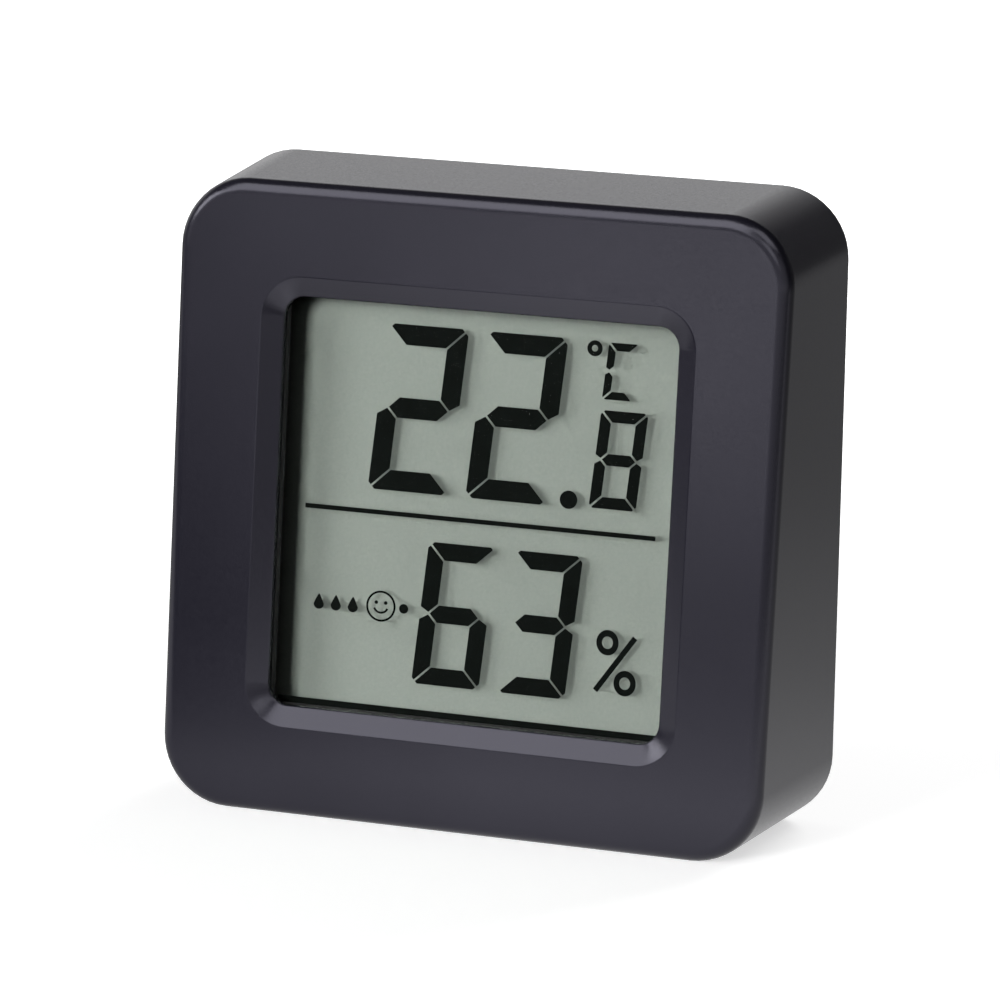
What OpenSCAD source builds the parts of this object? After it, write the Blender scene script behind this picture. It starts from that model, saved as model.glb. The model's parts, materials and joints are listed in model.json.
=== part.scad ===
// Small square room thermometer and hygrometer: a drafted two-part case with a leaning front,
// a reflective display behind a bevelled window, a circuit board, and a coin cell under a
// twist-lock door. It stands on its flat bottom wall, looks towards -Y, and +X is to its right.

/* [Case] */
// Width across the back edge
case_width = 43; // [39:0.5:48]
// Height along the back edge
case_height = 42.5; // [39:0.5:48]
// Depth at mid height, square to the back
case_depth = 13; // [12.5:0.25:16]
// Angle between the front face and the rear plane
face_lean = 5.4; // [4:0.2:6]
// Draft of the two side walls
side_draft = 3.1; // [1:0.1:4]
// Draft of the top wall
top_draft = 2.4; // [1:0.1:4]
// Draft of the bottom wall
base_draft = 2.3; // [1:0.1:4]
// Corner radius of the outline
corner_radius = 4.6; // [4:0.1:5.4]
// Radius of the front edge
front_round = 0.9; // [0.5:0.1:1.2]
// Radius of the back edge
rear_round = 0.4; // [0.2:0.1:0.6]
// Thickness of the side walls
wall = 1.6; // [1.4:0.1:1.8]
// Thickness of the front wall
front_wall = 1.25; // [1.15:0.05:1.6]
// Inner bevel where the front wall meets the side walls
inner_bevel = 0.5; // [0.3:0.1:0.8]

/* [Window] */
// Width of the opening
window_width = 27; // [24:0.5:30]
// Height of the opening
window_height = 27; // [24:0.5:30]
// Corner radius of the opening
window_corner = 1.4; // [1:0.1:3]
// Width of the bevel round the opening
bevel_width = 1.35; // [0.8:0.05:1.8]
// Depth of the bevel
bevel_depth = 0.75; // [0.4:0.05:0.9]
// Soft radius where the bevel meets the face and the opening
bevel_soft = 0.2; // [0.1:0.05:0.3]

/* [Display] */
// Thickness of the foam frame behind the window lip
gasket_thickness = 0.75; // [0.5:0.05:1]
// How far the foam frame is set back from the opening
gasket_setback = 0.02; // [0.02:0.02:0.3]
// Width of the foam frame
gasket_width = 0.6; // [0.4:0.05:0.65]
// Thickness of the front film
film_thickness = 0.15; // [0.1:0.05:0.3]
// Thickness of each glass plate
glass_thickness = 0.7; // [0.5:0.05:1.1]
// Gap that the sealant keeps between the plates
seal_thickness = 0.05; // [0.03:0.01:0.1]
// Width of the frame of sealant
seal_width = 0.4; // [0.3:0.05:0.6]
// Thickness of the reflecting film
reflector_thickness = 0.2; // [0.1:0.05:0.3]
// How far the glass reaches past the opening all round
glass_overlap = 0.9; // [0.9:0.05:1.4]
// Height of the contact ledge above and below the rear plate
contact_ledge = 2; // [1.6:0.1:2.4]
// Height of the rubber connectors between glass and board
connector_height = 1.8; // [1.5:0.1:2.4]
// Width of the rubber connectors
connector_width = 1.4; // [1:0.1:1.5]
// Thickness of the ribs that centre the glass
rib_thickness = 0.7; // [0.5:0.05:0.9]

/* [Board] */
// Thickness of the circuit board
board_thickness = 1; // [0.8:0.1:1.2]
// Air between the board's edge and the case
board_gap = 0.5; // [0.3:0.1:0.8]
// Vertical distance between the board screws
board_screw_spacing = 20; // [16:0.5:24]
// Distance of the board screws from the board's side edges
board_screw_edge = 1.5; // [1.3:0.1:1.8]
// Diameter of the board bosses
board_boss_diameter = 2.8; // [2.4:0.1:3]

/* [Coin cell] */
// Diameter of the cell
cell_diameter = 20; // [16:0.5:21]
// Thickness of the cell
cell_thickness = 3.2; // [2:0.1:3.6]
// Sheet thickness of the can
can_sheet = 0.25; // [0.2:0.05:0.4]
// Radial thickness of the cell's plastic seal
cell_seal = 0.6; // [0.4:0.05:0.8]
// Bevel on the cell's edges
cell_bevel = 0.3; // [0.2:0.05:0.4]

/* [Rear cover] */
// Thickness of the cover
cover_thickness = 1.6; // [1.4:0.1:2]
// Width of the case rim that shows round the cover
rim_width = 0.8; // [0.7:0.05:1]
// Height of the ribs that centre the cover in the case
skirt_height = 1.2; // [0.8:0.1:1.6]
// Length of those ribs
skirt_length = 18; // [12:1:22]
// Thickness of those ribs
skirt_thickness = 0.8; // [0.6:0.1:1]

/* [Battery door] */
// Thickness of the door's flange
flange_thickness = 0.75; // [0.6:0.05:0.9]
// How far the flange reaches past the lugs
flange_overlap = 0.3; // [0.25:0.05:0.5]
// Thickness of the door under the cell
door_floor = 1.3; // [1.1:0.05:1.6]
// Thickness of the collar round the cell
collar_wall = 0.7; // [0.6:0.05:1]
// How far the collar stands past the lugs
collar_lip = 0.2; // [0.1:0.05:0.4]
// Reach of the locking lugs
lug_reach = 0.65; // [0.5:0.05:1]
// Thickness of the locking lugs
lug_thickness = 0.8; // [0.6:0.05:1]
// Bevel round the flange's outer edge
flange_bevel = 0.2; // [0.1:0.05:0.3]
// Angle that one lug spans
lug_arc = 24; // [16:1:28]
// Turn from locked to open
door_turn = 45; // [40:1:50]
// Number of lugs
lug_count = 3; // [2:1:3]
// Angle that one stop beside a lug spans
stop_arc = 4; // [3:0.5:6]
// Angle of air between a lug and its stop
stop_gap = 1.5; // [1:0.5:3]
// Angle by which a notch is wider than a lug at each side
notch_spare = 1; // [0.5:0.25:1.5]
// Length of the coin slot
coin_slot_length = 13; // [10:0.5:16]
// Width of the coin slot
coin_slot_width = 1.8; // [1.4:0.1:2.2]
// Depth of the coin slot
coin_slot_depth = 0.7; // [0.5:0.05:0.8]
// Wall of the round well that the lugs turn in
well_wall = 0.7; // [0.6:0.05:1]
// Depth of the well behind the cover
well_depth = 3; // [2.4:0.1:3.4]
// Air between the well and the bottom wall
well_gap = 0.5; // [0.4:0.05:1]

/* [Unit button] */
// Diameter of the button
button_diameter = 4.8; // [4:0.1:5.4]
// Distance of the button from the centre line
button_offset = 11.5; // [10:0.25:12.5]
// How far the button lies below the cover's surface
button_recess = 0.2; // [0.1:0.05:0.4]
// Travel when pressed
button_travel = 0.3; // [0.2:0.05:0.35]
// Radial reach of the collar that keeps the button in
button_collar = 0.8; // [0.5:0.1:1]
// Thickness of that collar
button_collar_thickness = 0.7; // [0.5:0.1:0.9]
// Bevel round the button's face
button_bevel = 0.3; // [0.2:0.05:0.5]
// Diameter of the rod that presses the switch
button_rod_diameter = 1.8; // [1.4:0.1:2]
// Side of the square switch
switch_size = 4.5; // [4:0.1:5]
// Height of the switch housing
switch_height = 1.4; // [1.2:0.1:1.6]
// Thickness of the switch's metal cap
switch_cap = 0.2; // [0.15:0.05:0.3]
// Diameter of the switch's stem
stem_diameter = 2.2; // [1.8:0.1:2.4]
// Height of the stem above the switch
stem_height = 0.7; // [0.5:0.1:0.9]
// Length of the stem inside the switch
stem_inside = 0.6; // [0.4:0.1:0.7]

/* [Keyhole] */
// Diameter of the round entry
keyhole_entry = 5; // [4.6:0.1:5.8]
// Width of the slot above it
keyhole_slot = 2.8; // [2.4:0.1:3]
// Distance from the entry to the slot's end
keyhole_drop = 2.8; // [2.6:0.1:3.4]
// Depth of the closed pocket behind the cover
pocket_depth = 2.8; // [2.4:0.1:3]
// Wall of that pocket
pocket_wall = 0.6; // [0.5:0.05:0.8]
// Corner radius inside that pocket
pocket_round = 0.9; // [0.5:0.1:1.2]
// How much wider the pocket is than the entry at each side
pocket_margin = 0.15; // [0.1:0.05:0.3]

/* [Air slots] */
// Number of slots
air_slot_count = 5; // [3:1:5]
// Length of a slot
air_slot_length = 6; // [4:0.5:7]
// Width of a slot
air_slot_width = 1; // [0.8:0.1:1.2]
// Distance from slot to slot
air_slot_pitch = 1.8; // [1.6:0.1:2]
// Distance of the middle slot from the centre line
air_slot_offset = 10.8; // [10:0.1:11.5]

/* [Screws] */
// Distance of the cover screws from the case's outer edges
cover_screw_inset = 3.7; // [3.5:0.05:4]
// Diameter of the corner bosses
cover_boss_diameter = 3.6; // [3:0.1:4]
// Shank diameter of the cover screws
cover_screw_diameter = 1.6; // [1.4:0.1:1.8]
// Head diameter of the cover screws
cover_head_diameter = 2.8; // [2.6:0.1:3]
// Head height of the cover screws
cover_head_height = 0.65; // [0.5:0.05:0.8]
// Depth of the recess for the heads
cover_head_recess = 0.8; // [0.7:0.05:0.9]
// Length of the cover screws below the head
cover_screw_length = 5; // [4:0.5:6]
// Shank diameter of the board screws
board_screw_diameter = 1.2; // [1:0.1:1.4]
// Head diameter of the board screws
board_head_diameter = 2.4; // [2:0.1:2.6]
// Head height of the board screws
board_head_height = 0.7; // [0.5:0.05:0.9]
// Length of the board screws below the head
board_screw_length = 3.4; // [3:0.1:3.6]
// Length of a cross recess in a screw head
cross_length = 1.7; // [1.4:0.1:1.8]
// Width of a cross recess
cross_width = 0.42; // [0.3:0.02:0.5]
// Depth of a cross recess
cross_depth = 0.4; // [0.3:0.05:0.45]

/* [Sensors and contacts] */
// Width of the humidity sensor
humidity_width = 5; // [4:0.5:6]
// Height of the humidity sensor
humidity_height = 7; // [5:0.5:8]
// Thickness of the humidity sensor
humidity_thickness = 0.8; // [0.5:0.1:1]
// How far the humidity sensor stands off the board
humidity_standoff = 1.4; // [1:0.1:2]
// Distance between its wires
humidity_lead_pitch = 2.54; // [2:0.02:3]
// Diameter of sensor wires
lead_diameter = 0.45; // [0.4:0.05:0.6]
// Diameter of the thermistor's bead
bead_diameter = 1.8; // [1.4:0.1:2.2]
// How far the bead stands off the board
bead_standoff = 1.6; // [1.2:0.1:2.4]
// Distance between the bead's wires
bead_lead_pitch = 0.9; // [0.8:0.05:1.1]
// Distance of the bead from the centre line
bead_offset = 13.2; // [12:0.1:14]
// Air between the bead and the humidity sensor
bead_gap = 0.8; // [0.5:0.1:1.5]
// Sheet thickness of the cell contacts
contact_sheet = 0.2; // [0.15:0.05:0.3]
// Width of the leaf under the cell
spring_width = 5; // [4:0.5:7]
// Length of the leaf's rising part and its half crown
spring_rise = 6; // [5:0.5:7]
// Length of the flat crown that touches the cell
spring_crown = 2; // [1.5:0.25:2.5]
// Length and drop of the leaf's free end
spring_drop = 1; // [0.6:0.1:1.4]
// Width of the strip beside the cell
side_contact_width = 4; // [3:0.5:5]
// Length of the foot that solders a contact to the board
contact_foot = 3; // [2:0.25:4]
// Diameter of the resin drop over the chip
blob_diameter = 7; // [5:0.5:8]
// Height of the resin drop
blob_height = 1.3; // [0.8:0.1:1.6]
// Length of a chip resistor or capacitor
chip_length = 1.6; // [1.2:0.1:2]
// Width of a chip resistor or capacitor
chip_width = 0.8; // [0.6:0.1:1.2]
// Height of a chip resistor
resistor_height = 0.45; // [0.3:0.05:0.6]
// Height of a chip capacitor
capacitor_height = 0.8; // [0.5:0.05:1]
// Number of chip resistors
resistor_count = 4; // [2:1:4]
// Number of chip capacitors
capacitor_count = 3; // [2:1:3]

/* [Clearances] */
// Radial gap round the battery door
door_gap = 0.15; // [0.1:0.05:0.25]
// Gap above and below the door's lugs and flange
lug_gap = 0.05; // [0.04:0.01:0.1]
// Radial gap round the cell
cell_gap = 0.2; // [0.15:0.05:0.3]
// Radial gap round sliding stems
guide_gap = 0.1; // [0.08:0.01:0.15]
// Gap between seated pieces
seat_gap = 0.05; // [0.02:0.01:0.08]
// Gap round the cover and round the glass
edge_gap = 0.12; // [0.08:0.01:0.2]
// Radial gap between a screw and its pilot hole
pilot_gap = 0.02; // [0.01:0.01:0.05]
// Gap between a contact and the cell
contact_gap = 0.1; // [0.05:0.01:0.2]
// Gap between the display's ribs and the board
rib_gap = 0.3; // [0.2:0.05:0.5]
// How much deeper a pilot hole is than its screw
pilot_spare = 0.25; // [0.1:0.05:0.3]

/* [Hidden] */
$fn = 48;
signs = [-1, 1];
// How far a cut runs past the solid that it cuts
bite = 0.5;
// Steps round a corner, round an edge, and round a soft edge of the window
corner_steps = 12;
round_steps = 6;
soft_steps = 3;

// Depths square to the front face, counted inwards from it
gasket_depth = front_wall;
film_depth = gasket_depth + gasket_thickness;
front_glass_depth = film_depth + film_thickness;
seal_depth = front_glass_depth + glass_thickness;
rear_glass_depth = seal_depth + seal_thickness;
reflector_depth = rear_glass_depth + glass_thickness;
board_depth = seal_depth + connector_height;
board_back = board_depth + board_thickness;

// Outlines of the display
gasket_inner = [window_width, window_height] + 2 * gasket_setback * [1, 1];
film_size = gasket_inner + 2 * gasket_width * [1, 1];
rear_glass_size = [window_width, window_height] + 2 * glass_overlap * [1, 1];
front_glass_size = rear_glass_size + 2 * contact_ledge * [0, 1];
seal_inner = rear_glass_size - 2 * seal_width * [1, 1];
reflector_size = rear_glass_size - 2 * edge_gap * [1, 1];
rib_inner = front_glass_size + 2 * edge_gap * [1, 1];
rib_outer = rib_inner + 2 * rib_thickness * [1, 1];
rib_end = board_depth - rib_gap;

// Board and its screws
board_size = [
    case_width - 2 * (wall + board_gap + (case_depth - board_back) * tan(side_draft)),
    case_height - 2 * (wall + board_gap) - case_depth * (tan(base_draft) + tan(face_lean))
];
board_screw_x = board_size[0] / 2 - board_screw_edge;
board_screw_z = board_screw_spacing / 2;
board_screw_tip = board_back - board_screw_length;
board_head_top = board_back + board_head_height;

// Cover screws
cover_screw_x = case_width / 2 - cover_screw_inset;
cover_screw_z = case_height / 2 - cover_screw_inset;
cover_screw_end = cover_head_recess + cover_screw_length;

// Battery door, as radii and as distances in front of the rear plane
cell_radius = cell_diameter / 2;
collar_inner = cell_radius + cell_gap;
collar_outer = collar_inner + collar_wall;
throat_radius = collar_outer + door_gap;
lug_radius = collar_outer + lug_reach;
notch_radius = lug_radius + door_gap;
flange_radius = lug_radius + flange_overlap;
seat_radius = flange_radius + door_gap;
well_inner = seat_radius;
well_outer = well_inner + well_wall;
seat_floor = flange_thickness + lug_gap;
lug_top = cover_thickness + lug_gap;
lug_bottom = lug_top + lug_thickness;
collar_end = lug_bottom + collar_lip;
well_end = cover_thickness + well_depth;
cell_back = door_floor + seat_gap;
cell_front = cell_back + cell_thickness;
door_z = -case_height / 2 + wall + well_gap + well_outer;
lug_pitch = 360 / lug_count;
stop_low = -lug_arc / 2 - stop_gap - stop_arc;
stop_high = door_turn + lug_arc / 2 + stop_gap;

// Keyhole pocket and the row of features beside it, midway between the well and the top wall
pocket_half = keyhole_entry / 2 + pocket_margin;
pocket_end = cover_thickness + pocket_depth;
row_low = door_z + well_outer;
row_high = case_height / 2 - wall - edge_gap - (pocket_end + pocket_wall) * tan(top_draft);
row_z = (row_low + row_high - pocket_wall) / 2;
keyhole_z = row_z - keyhole_drop / 2;
slot_end_z = row_z + keyhole_drop / 2;

// Distance in front of the rear plane of a point at height z and a depth behind the front face
function reach(z, depth) = case_depth - z * tan(face_lean) - depth / cos(face_lean);
// Height up the front face of a point at height z and a depth behind the face
function up_face(z, depth) = (z + depth * sin(face_lean)) / cos(face_lean);
// Depth behind the front face of a point at height z and a distance in front of the rear plane
function behind(z, distance) = (case_depth - z * tan(face_lean) - distance) * cos(face_lean);

// Switch and button
switch_z = row_z;
stem_top = board_back + switch_height + switch_cap + stem_height;
button_collar_top = cover_thickness + seat_gap;
button_collar_end = button_collar_top + button_collar_thickness;
button_rod_end = reach(switch_z, stem_top) - contact_gap - stem_diameter / 2 * tan(face_lean);

// Where the case stands
base_depth = (case_depth + tan(face_lean) * case_height / 2) / (1 + tan(face_lean) * tan(base_draft));
base_lift = case_height / 2 * cos(base_draft);
base_shift = base_depth / 2 / cos(base_draft) - case_height / 2 * sin(base_draft);

charcoal = [0.24, 0.235, 0.275];
charcoal_dark = [0.2, 0.2, 0.23];
board_green = [0.1, 0.36, 0.2];
clear_glass = [0.75, 0.82, 0.8];
steel = [0.72, 0.73, 0.75];

// Stands the case on its bottom wall, with the middle of that wall at the origin
module standing() {
    translate([0, base_shift, base_lift])
        rotate([base_draft, 0, 0])
            children();
}

// Frame of the front face: X to the right, Y inwards, Z up the face
module on_face() {
    standing()
        translate([0, -case_depth, 0])
            rotate([-face_lean, 0, 0])
                children();
}

// A cylinder square to the rear plane, between two distances in front of it
module rear_pin(radius, from, to) {
    translate([0, -from, 0])
        rotate([90, 0, 0])
            cylinder(r = radius, h = to - from);
}

// A cylinder square to the front face, between two depths
module face_pin(radius, from, to) {
    translate([0, to, 0])
        rotate([90, 0, 0])
            cylinder(r = radius, h = to - from);
}

// The cross that a screwdriver turns, about the middle of a screw head's top
module cross_recess() {
    for (a = [0, 90])
        rotate([0, a, 0])
            cube([cross_length, 2 * cross_depth, cross_width], center = true);
}

// A plate parallel to the front face
module face_plate(size, from, to) {
    translate([-size[0] / 2, from, -size[1] / 2])
        cube([size[0], to - from, size[1]]);
}

module face_frame(outer, inner, from, to) {
    difference() {
        face_plate(outer, from, to);
        face_plate(inner, from - bite, to + bite);
    }
}

// A plate with round corners, parallel to the rear plane
module rear_plate(size, radius, from, to) {
    translate([0, -from, 0])
        rotate([90, 0, 0])
            linear_extrude(to - from)
                rounded(size, radius);
}

module rounded(size, radius) {
    square([size[0] - 2 * radius, size[1]], center = true);
    square([size[0], size[1] - 2 * radius], center = true);
    for (sx = signs, sz = signs)
        translate([sx * (size[0] / 2 - radius), sz * (size[1] / 2 - radius)])
            circle(radius);
}

// A slot with round ends, upright in the rear plane
module rear_slot(width, length, from, to) {
    translate([0, -from, 0])
        rotate([90, 0, 0])
            linear_extrude(to - from) {
                square([width, length - width], center = true);
                for (s = signs)
                    translate([0, s * (length - width) / 2])
                        circle(width / 2);
            }
}

// A revolved piece, drawn as radius and distance in front of the rear plane
module rear_turned() {
    rotate([90, 0, 0])
        rotate_extrude($fn = 96)
            children();
}

module at_cover_screws() {
    for (sx = signs, sz = signs)
        translate([sx * cover_screw_x, 0, sz * cover_screw_z])
            children();
}

module at_board_screws() {
    for (sx = signs, sz = signs)
        translate([sx * board_screw_x, 0, sz * board_screw_z])
            children();
}

// A ring sector round the door's axis, with angles counter-clockwise as seen from behind
module door_sector(inner, outer, from, to, start, arc) {
    translate([0, -to, 0])
        rotate([-90, 0, 0])
            rotate(start)
                rotate_extrude(angle = arc)
                    translate([inner, 0])
                        square([outer - inner, to - from]);
}

module each_lug() {
    for (i = [0 : lug_count - 1])
        rotate([0, -90 - i * lug_pitch, 0])
            children();
}

// A bent strip of sheet metal, from points in the plane that are left and right of its middle line
function unit(v) = v / norm(v);
function side(v) = [-v[1], v[0]];
function mitre(points, i, half) =
    let (before = unit(points[max(i, 1)] - points[max(i, 1) - 1]))
    let (last = len(points) - 1)
    let (after = unit(points[min(i, last - 1) + 1] - points[min(i, last - 1)]))
    let (middle = unit(side(before) + side(after)))
    points[i] + middle * half / (middle * side(before));
function strip_outline(points, half) = concat(
    [for (i = [0 : len(points) - 1]) mitre(points, i, half)],
    [for (i = [len(points) - 1 : -1 : 0]) mitre(points, i, -half)]
);

// Rings of the bezel. Each has the same number of points, corner by corner.
corner_x = [1, -1, -1, 1];
corner_z = [1, 1, -1, -1];
function wall_slope(c) = tan(corner_z[c] > 0 ? top_draft : base_draft);
function turn(c, k) = 90 * c + 90 * k / corner_steps;
function outline_at(hx, hz, r, c, k) = [
    corner_x[c] * (hx - r) + r * cos(turn(c, k)),
    corner_z[c] * (hz - r) + r * sin(turn(c, k))
];
function drafted(p, c, distance) = [
    p[0] - corner_x[c] * tan(side_draft) * distance,
    -distance,
    p[1] - corner_z[c] * wall_slope(c) * distance
];
function outer_at(inset, c, k) = outline_at(
    case_width / 2 - inset, case_height / 2 - inset, corner_radius - inset, c, k
);
function to_face(p, c, depth) =
    (case_depth - depth / cos(face_lean) - tan(face_lean) * p[1])
    / (1 - tan(face_lean) * corner_z[c] * wall_slope(c));

// Parallel to the rear plane, a distance in front of it
function rear_ring(inset, distance) = [
    for (c = [0 : 3], k = [0 : corner_steps]) drafted(outer_at(inset, c, k), c, distance)
];
// Parallel to the front face, a depth behind it
function front_ring(inset, depth) = [
    for (c = [0 : 3], k = [0 : corner_steps])
        let (p = outer_at(inset, c, k))
        drafted(p, c, to_face(p, c, depth))
];
// Round the window, a margin outside the opening and a depth behind the face
function window_ring(margin, depth) = [
    for (c = [0 : 3], k = [0 : corner_steps])
        let (p = outline_at(
            window_width / 2 + margin, window_height / 2 + margin, window_corner + margin, c, k
        ))
        [
            p[0],
            -case_depth + p[1] * sin(face_lean) + depth * cos(face_lean),
            p[1] * cos(face_lean) - depth * sin(face_lean)
        ]
];

// Round edges, as steps of angle
function steps(from, to, count) = [for (i = [0 : count]) from + (to - from) * i / count];
bevel_angle = atan2(bevel_depth, bevel_width);
round_angles = steps(0, 90, round_steps);
soft_angles = steps(0, bevel_angle, soft_steps);
lip_angles = steps(bevel_angle, 90, soft_steps);
soft_start = bevel_width + bevel_soft * tan(bevel_angle / 2);
lip_depth = bevel_depth + bevel_soft * tan((90 - bevel_angle) / 2);

bezel_rings = concat(
    [for (a = round_angles) rear_ring(rear_round * (1 - sin(a)), rear_round * (1 - cos(a)))],
    [for (a = round_angles) front_ring(front_round * (1 - cos(a)), front_round * (1 - sin(a)))],
    [for (a = soft_angles) window_ring(soft_start - bevel_soft * sin(a), bevel_soft * (1 - cos(a)))],
    [for (a = lip_angles) window_ring(bevel_soft * (1 - sin(a)), lip_depth - bevel_soft * cos(a))],
    [window_ring(0, front_wall)],
    [front_ring(wall + inner_bevel, front_wall)],
    [front_ring(wall, front_wall + inner_bevel)],
    [rear_ring(wall, cover_thickness)],
    [rear_ring(rim_width, cover_thickness)],
    [rear_ring(rim_width, 0)]
);
ring_size = 4 * (corner_steps + 1);
ring_count = len(bezel_rings);
function ring_point(i, j) = (i % ring_count) * ring_size + j % ring_size;
bezel_faces = [
    for (i = [0 : ring_count - 1], j = [0 : ring_size - 1], half = [0, 1])
        half == 0
            ? [ring_point(i, j), ring_point(i + 1, j + 1), ring_point(i, j + 1)]
            : [ring_point(i, j), ring_point(i + 1, j), ring_point(i + 1, j + 1)]
];

// The moulded front: one skin from the back rim, round the front edge and into the window
module bezel_shell() {
    polyhedron(
        points = [for (ring = bezel_rings, p = ring) p],
        faces = bezel_faces,
        convexity = 6
    );
}

module front_bezel() {
    color(charcoal)
        difference() {
            union() {
                standing() {
                    bezel_shell();
                    at_cover_bosses() rear_pin(cover_boss_diameter / 2, cover_thickness, $boss_start);
                }
                on_face() {
                    face_frame(rib_outer, rib_inner, front_wall / 2, rib_end);
                    at_board_screws() face_pin(board_boss_diameter / 2, front_wall / 2, board_depth);
                }
            }
            standing()
                at_cover_screws()
                    rear_pin(cover_screw_diameter / 2 + pilot_gap, 0, cover_screw_end + pilot_spare);
            on_face() {
                at_board_screws()
                    face_pin(board_screw_diameter / 2 + pilot_gap, board_screw_tip - pilot_spare, board_back);
                face_plate(rib_inner, front_wall, board_back);
            }
        }
}

module at_cover_bosses() {
    for (sx = signs, sz = signs) {
        $boss_start = reach(sz * cover_screw_z, front_wall / 2);
        translate([sx * cover_screw_x, 0, sz * cover_screw_z])
            children();
    }
}

cover_size = [case_width, case_height]
    - 2 * (rim_width + edge_gap + cover_thickness * tan(max(side_draft, top_draft, base_draft))) * [1, 1];
cover_corner = corner_radius - rim_width - edge_gap;
skirt_reach = [
    case_width / 2 - wall - edge_gap - (cover_thickness + skirt_height) * tan(side_draft),
    case_height / 2 - wall - edge_gap - (cover_thickness + skirt_height) * tan(max(top_draft, base_draft))
];

// Ribs on the inside of the cover that centre it in the case
module cover_skirt() {
    height = skirt_height + cover_thickness / 2;
    middle = cover_thickness + skirt_height - height / 2;
    for (s = signs) {
        translate([s * (skirt_reach[0] - skirt_thickness / 2), -middle, 0])
            cube([skirt_thickness, height, skirt_length], center = true);
        translate([0, -middle, s * (skirt_reach[1] - skirt_thickness / 2)])
            cube([skirt_length, height, skirt_thickness], center = true);
    }
}

pocket_size = [2 * pocket_half, 2 * pocket_half + keyhole_drop];
pocket_outer = pocket_size + 2 * pocket_wall * [1, 1];

// The plate with the well, the pocket and the ribs on its inside, before it is cut
module cover_body() {
    rear_plate(cover_size, cover_corner, 0, cover_thickness);
    translate([0, 0, door_z])
        rear_pin(well_outer, cover_thickness / 2, well_end);
    translate([0, 0, row_z])
        rear_plate(pocket_outer, pocket_round + pocket_wall, cover_thickness / 2, pocket_end + pocket_wall);
    cover_skirt();
}

// Seat, throat, notches and well for the door. The stops stay standing in the well.
module door_cut() {
    rear_pin(seat_radius, -bite, seat_floor);
    rear_pin(throat_radius, -bite, cover_thickness + bite);
    each_lug()
        door_sector(
            collar_inner, notch_radius, 0, cover_thickness + bite,
            door_turn - lug_arc / 2 - notch_spare, lug_arc + 2 * notch_spare
        );
    difference() {
        rear_pin(well_inner, cover_thickness, well_end + bite);
        each_lug()
            for (start = [stop_low, stop_high])
                door_sector(throat_radius + door_gap, well_outer, 0, lug_bottom, start, stop_arc);
    }
}

module keyhole_cut() {
    translate([0, 0, keyhole_z])
        rear_pin(keyhole_entry / 2, -bite, cover_thickness + bite);
    translate([-keyhole_slot / 2, -cover_thickness - bite, keyhole_z])
        cube([keyhole_slot, cover_thickness + 2 * bite, keyhole_drop]);
    translate([0, 0, slot_end_z])
        rear_pin(keyhole_slot / 2, -bite, cover_thickness + bite);
    translate([0, 0, row_z])
        rear_plate(pocket_size, pocket_round, cover_thickness, pocket_end);
}

// The button's hole, the air slots, and the holes and recesses of the screws
module small_cuts() {
    translate([button_offset, 0, switch_z])
        rear_pin(button_diameter / 2 + guide_gap, -bite, cover_thickness + bite);
    for (i = [0 : air_slot_count - 1])
        translate([-air_slot_offset + (i - (air_slot_count - 1) / 2) * air_slot_pitch, 0, row_z])
            rear_slot(air_slot_width, air_slot_length, -bite, cover_thickness + bite);
    at_cover_screws() {
        rear_pin(cover_screw_diameter / 2 + guide_gap, -bite, cover_thickness + bite);
        rear_pin(cover_head_diameter / 2 + guide_gap, -bite, cover_head_recess);
    }
}

module rear_cover() {
    color(charcoal)
        standing()
            difference() {
                cover_body();
                translate([0, 0, door_z])
                    door_cut();
                keyhole_cut();
                small_cuts();
            }
}

cover_head_top = cover_head_recess - cover_head_height;

module cover_screws() {
    color(steel)
        standing()
            at_cover_screws()
                difference() {
                    union() {
                        rear_pin(cover_head_diameter / 2, cover_head_top, cover_head_recess);
                        rear_pin(cover_screw_diameter / 2, cover_head_recess, cover_screw_end);
                    }
                    translate([0, -cover_head_top, 0])
                        cross_recess();
                }
}

door_profile = [
    [0, 0], [flange_radius - flange_bevel, 0], [flange_radius, flange_bevel],
    [flange_radius, flange_thickness], [collar_outer, flange_thickness], [collar_outer, collar_end],
    [collar_inner, collar_end], [collar_inner, door_floor], [0, door_floor]
];

module battery_door() {
    color(charcoal)
        standing()
            translate([0, 0, door_z])
                difference() {
                    union() {
                        rear_turned()
                            polygon(door_profile);
                        each_lug()
                            door_sector(
                                collar_inner + collar_wall / 2, lug_radius,
                                lug_top, lug_bottom, -lug_arc / 2, lug_arc
                            );
                    }
                    rotate([0, 90, 0])
                        rear_slot(coin_slot_width, coin_slot_length, -bite, coin_slot_depth);
                }
}

button_radius = button_diameter / 2;
collar_radius = button_radius + button_collar;
rod_radius = button_rod_diameter / 2;
button_profile = [
    [0, button_recess], [button_radius - button_bevel, button_recess],
    [button_radius, button_recess + button_bevel], [button_radius, button_collar_top],
    [collar_radius, button_collar_top], [collar_radius, button_collar_end],
    [rod_radius, button_collar_end], [rod_radius, button_rod_end], [0, button_rod_end]
];

module unit_button() {
    color(charcoal_dark)
        standing()
            translate([button_offset, 0, switch_z])
                rear_turned()
                    polygon(button_profile);
}

// Places a piece on the back of the board, under a point of the rear plane
module on_board(x, z, depth = board_back) {
    on_face()
        translate([x, 0, up_face(z, depth)])
            children();
}

switch_top = board_back + switch_height;
switch_square = switch_size * [1, 1];
stem_end = switch_top - stem_inside;
stem_bore = stem_diameter / 2 + guide_gap;

module switch_base() {
    color(charcoal_dark)
        on_board(button_offset, switch_z, stem_top)
            difference() {
                face_plate(switch_square, board_back, switch_top);
                face_pin(stem_bore, stem_end - button_travel - seat_gap, stem_top);
            }
}

module switch_cover() {
    color(steel)
        on_board(button_offset, switch_z, stem_top)
            difference() {
                face_plate(switch_square, switch_top, switch_top + switch_cap);
                face_pin(stem_bore, switch_top - bite, stem_top);
            }
}

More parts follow.
